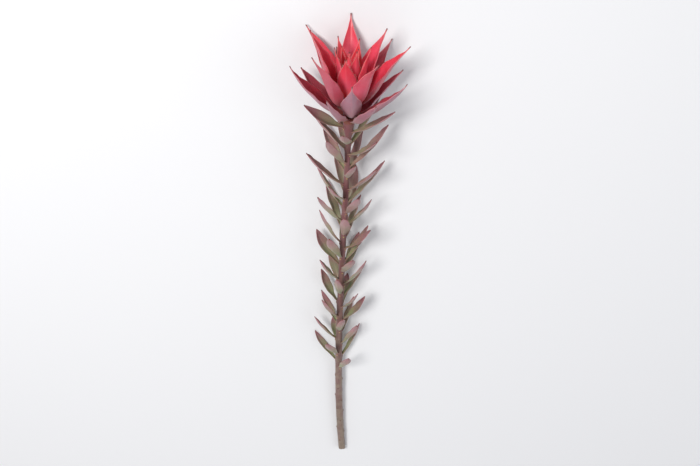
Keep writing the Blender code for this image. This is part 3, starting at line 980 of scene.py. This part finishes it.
bractHairs = {"perEdge": 90, "span": (0.10, 0.97), "Length": 0.8 * mm, "Disorder": 0.4, "Thickness": 0.028 * mm}
tipCallus = {"back": 0.2 * mm, "lowest": 0.45 * mm, "Wide": 0.85 * mm, "Long": 1.3 * mm, "Proud": 0.7 * mm}


def growWhorl(whorl, firstOrder):
    chance = random.Random(spiral["seed"] + whorl["chance"])
    blades = []
    for index in range(whorl["count"]):
        order, share = firstOrder + index, index / (whorl["count"] - 1)
        now = {name: mix(*np.array(ends), share) for name, ends in whorl["form"].items()}
        low, high = whorl["core"]
        climb = mix(low + now["sunk"] * mm, high - now["sunk"] * mm, share)
        jitter = chance.uniform(-1, 1) * now["jitter"]
        azimuth = azimuthOf(order, chance, 3) + spiral["headTurn"]
        blades.append(makeBlade(
            stemLine["length"] + climb, azimuth, now["rootRadius"] * mm, order=order, height=share,
            length=now["length"] * mm * chance.uniform(0.95, 1.05),
            width=now["width"] * mm * chance.uniform(0.95, 1.05),
            bractness=now["bractness"],
            leans=list(now["leans"] + (jitter, jitter, jitter + chance.uniform(-1, 1) * now["curl"])),
            settles=now["settles"], fold=now["fold"], cup=now["cup"],
            twist=chance.uniform(-1, 1) * now["twist"],
            swing=chance.uniform(-1, 1) * now["swing"] * mm,
        ))
    return blades


def onCone(share, order):
    # the distance along the line, and the azimuth, of what grows on the cone at a share of its height
    azimuth = spiral["first"] + order * spiral["turn"] + spiral["headTurn"]
    return stemLine["length"] + mix(*conePiece["core"], share), azimuth


def coneRadius(share):
    away = abs(share - conePiece["widest"]) / (1 - conePiece["widest"])
    return conePiece["radius"] * math.sqrt(max(0.0, 1 - away**2.2)) + conePiece["spare"]


def growScales(firstOrder):
    blades = []
    for index in range(conePiece["scales"]):
        share = mix(*conePiece["scaleSpan"], index / (conePiece["scales"] - 1))
        order = firstOrder + index
        blades.append(makeBlade(
            *onCone(share, order), coneRadius(share) - conePiece["scaleSunk"], order=order, height=share,
            length=mix(3.3, 2.8, share) * mm, width=mix(3.2, 2.4, share) * mm, bractness=0.5,
            leans=[mix(46, 30, share)] * 3, settles=0.45, fold=(6, 6), cup=(20, 40, 30),
            twist=0.0, swing=0.0,
        ))
    return blades


def turnedPiece(name, heights, radii, material, *nodes):
    # a closed body of rings round the stem's line, at heights above the foot of the head
    sides = 28
    points = []
    for height, radius in zip(heights, radii):
        for step in range(sides):
            point, forward, outward = spokeAt(stemLine["length"] + height, 360 * step / sides)
            points.append(point + outward * radius)
    shellPiece(name, points, ringFaces(len(heights), sides), material, *nodes)


def budPlaces(firstOrder):
    places = []
    low, high = coneBuds["span"]
    for index in range(coneBuds["count"]):
        share = mix(low, high, index / (coneBuds["count"] - 1))
        point, forward, outward = spokeAt(*onCone(share, firstOrder + index))
        aim = unit(forward + outward * mix(1.0, 0.15, (share - low) / (high - low)))
        places.append((point + outward * coneRadius(share) * 0.92, aim, forward, mix(1.15, 0.8, share)))
    return places


def tipPlaces(blades):
    # where each leaf and bract ends in a small dark callus
    places = []
    for blade in blades:
        rail = midribOf(blade, 100)
        tip, before = rail["midrib"][-1].copy(), rail["midrib"][-4]
        lie, aim = unit(tip - before), rail["inward"][-1]
        tip[2] = max(table["softness"] * np.logaddexp(0.0, tip[2] / table["softness"]), tipCallus["lowest"])
        places.append((tip - lie * tipCallus["back"], aim, lie, 1.0))
    return places


firstOrder = stemLeaves["count"]
bracts = []
for name, whorl, look in (
    ("outer_bracts", outerBracts, outerLook),
    ("main_bracts", mainBracts, mainLook),
    ("inner_bracts", innerBracts, innerLook),
):
    blades = growWhorl(whorl, firstOrder)
    bladePiece(name + "_leaves", blades, whorl, look, name)
    bracts += blades
    firstOrder += whorl["count"]
print("bracts ready")

axisMaterial = grownMaterial("head axis", (128, 92, 72), (140, 66, 66), 260.0, 0.55, 0.2 * mm)
heights = np.linspace(*headAxis["span"], 40)
radii = mix(headAxis["footRadius"], headAxis["radius"], smooth(heights / (5 * mm)))
radii = radii * (1 - headAxis["slims"] * smooth((heights - 24 * mm) / (5.6 * mm)))
turnedPiece("head_axis", heights, radii, axisMaterial, "outer_bracts", "main_bracts", "inner_bracts")

coneMaterial = grownMaterial("cone body", (176, 178, 84), (150, 158, 70), 900.0, 0.6, 0.2 * mm)
shares = np.linspace(0.0, 1.0, 24)
heights, radii = mix(*conePiece["core"], shares), [coneRadius(share) for share in shares]
turnedPiece("cone_body", heights, radii, coneMaterial, "cone")
scales = growScales(firstOrder)
bladePiece("cone_scales", scales, conePiece, scaleLook, "cone")
budMaterial = grownMaterial("cone bud", (206, 200, 96), (178, 150, 70), 1400.0, 0.5, 0.1 * mm)
beadPiece("cone_buds", budPlaces(firstOrder + conePiece["scales"]), coneBuds, budMaterial, "cone")

hairMaterial = grownMaterial("pale hair", (238, 226, 214), (226, 190, 184), 300.0, 0.45, 0.01 * mm)
hairPiece("cone_hairs", scales, scaleHairs, hairMaterial, "cone")
hairPiece("inner_bract_hairs", bracts[-innerBracts["count"]:], bractHairs, hairMaterial, "inner_bracts")
callusMaterial = grownMaterial("tip callus", (128, 54, 46), (84, 34, 32), 900.0, 0.42, 0.1 * mm)
beadPiece("leaf_tips", tipPlaces(leaves), tipCallus, callusMaterial, "leafy_stem")
beadPiece("bract_tips", tipPlaces(bracts), tipCallus, callusMaterial, "main_bracts")
print("head ready")

# the table, the light and the camera

bpy.ops.mesh.primitive_plane_add(size=6.0)
floor = bpy.context.active_object
floor.name = "table_top"
pale = {"Base Color": (236, 236, 238), "Roughness": 0.9, "Specular IOR Level": 0.2}
floor.data.materials.append(startMaterial("pale table", pale)[0])


def areaLight(name, place, target, size, watts, colour):
    light = bpy.data.lights.new(name, "AREA")
    light.shape, light.size, light.energy, light.color = "DISK", size, watts, colour
    item = bpy.data.objects.new(name, light)
    bpy.context.scene.collection.objects.link(item)
    item.location = place
    item.rotation_euler = (Vector(target) - item.location).to_track_quat("-Z", "Y").to_euler()


areaLight("key", (-0.55, 0.70, 1.05), (0.0, 0.05, 0.0), 0.45, 13.0, (1.0, 0.99, 0.97))
areaLight("fill", (0.9, 0.1, 0.8), (0.0, 0.0, 0.0), 1.0, 3.0, (0.97, 0.98, 1.0))
areaLight("foot", (-0.2, -0.9, 0.7), (0.0, -0.05, 0.0), 0.8, 2.0, (1.0, 1.0, 1.0))

world = bpy.data.worlds.new("studio")
world.use_nodes = True
background = world.node_tree.nodes["Background"].inputs
feed(background["Color"], (240, 242, 246))
feed(background["Strength"], 0.42)
bpy.context.scene.world = world
bpy.context.scene.view_settings.view_transform = "Standard"

cameraPiece = {"place": (0.0, 0.492, 0.658), "tilt": 35.0, "lens": 50.0}
camera = bpy.data.objects.new("camera", bpy.data.cameras.new("camera"))
bpy.context.scene.collection.objects.link(camera)
camera.data.lens = cameraPiece["lens"]
camera.data.clip_start = 0.01
camera.location = cameraPiece["place"]
camera.rotation_euler = (-math.radians(cameraPiece["tilt"]), 0.0, 0.0)
bpy.context.scene.camera = camera
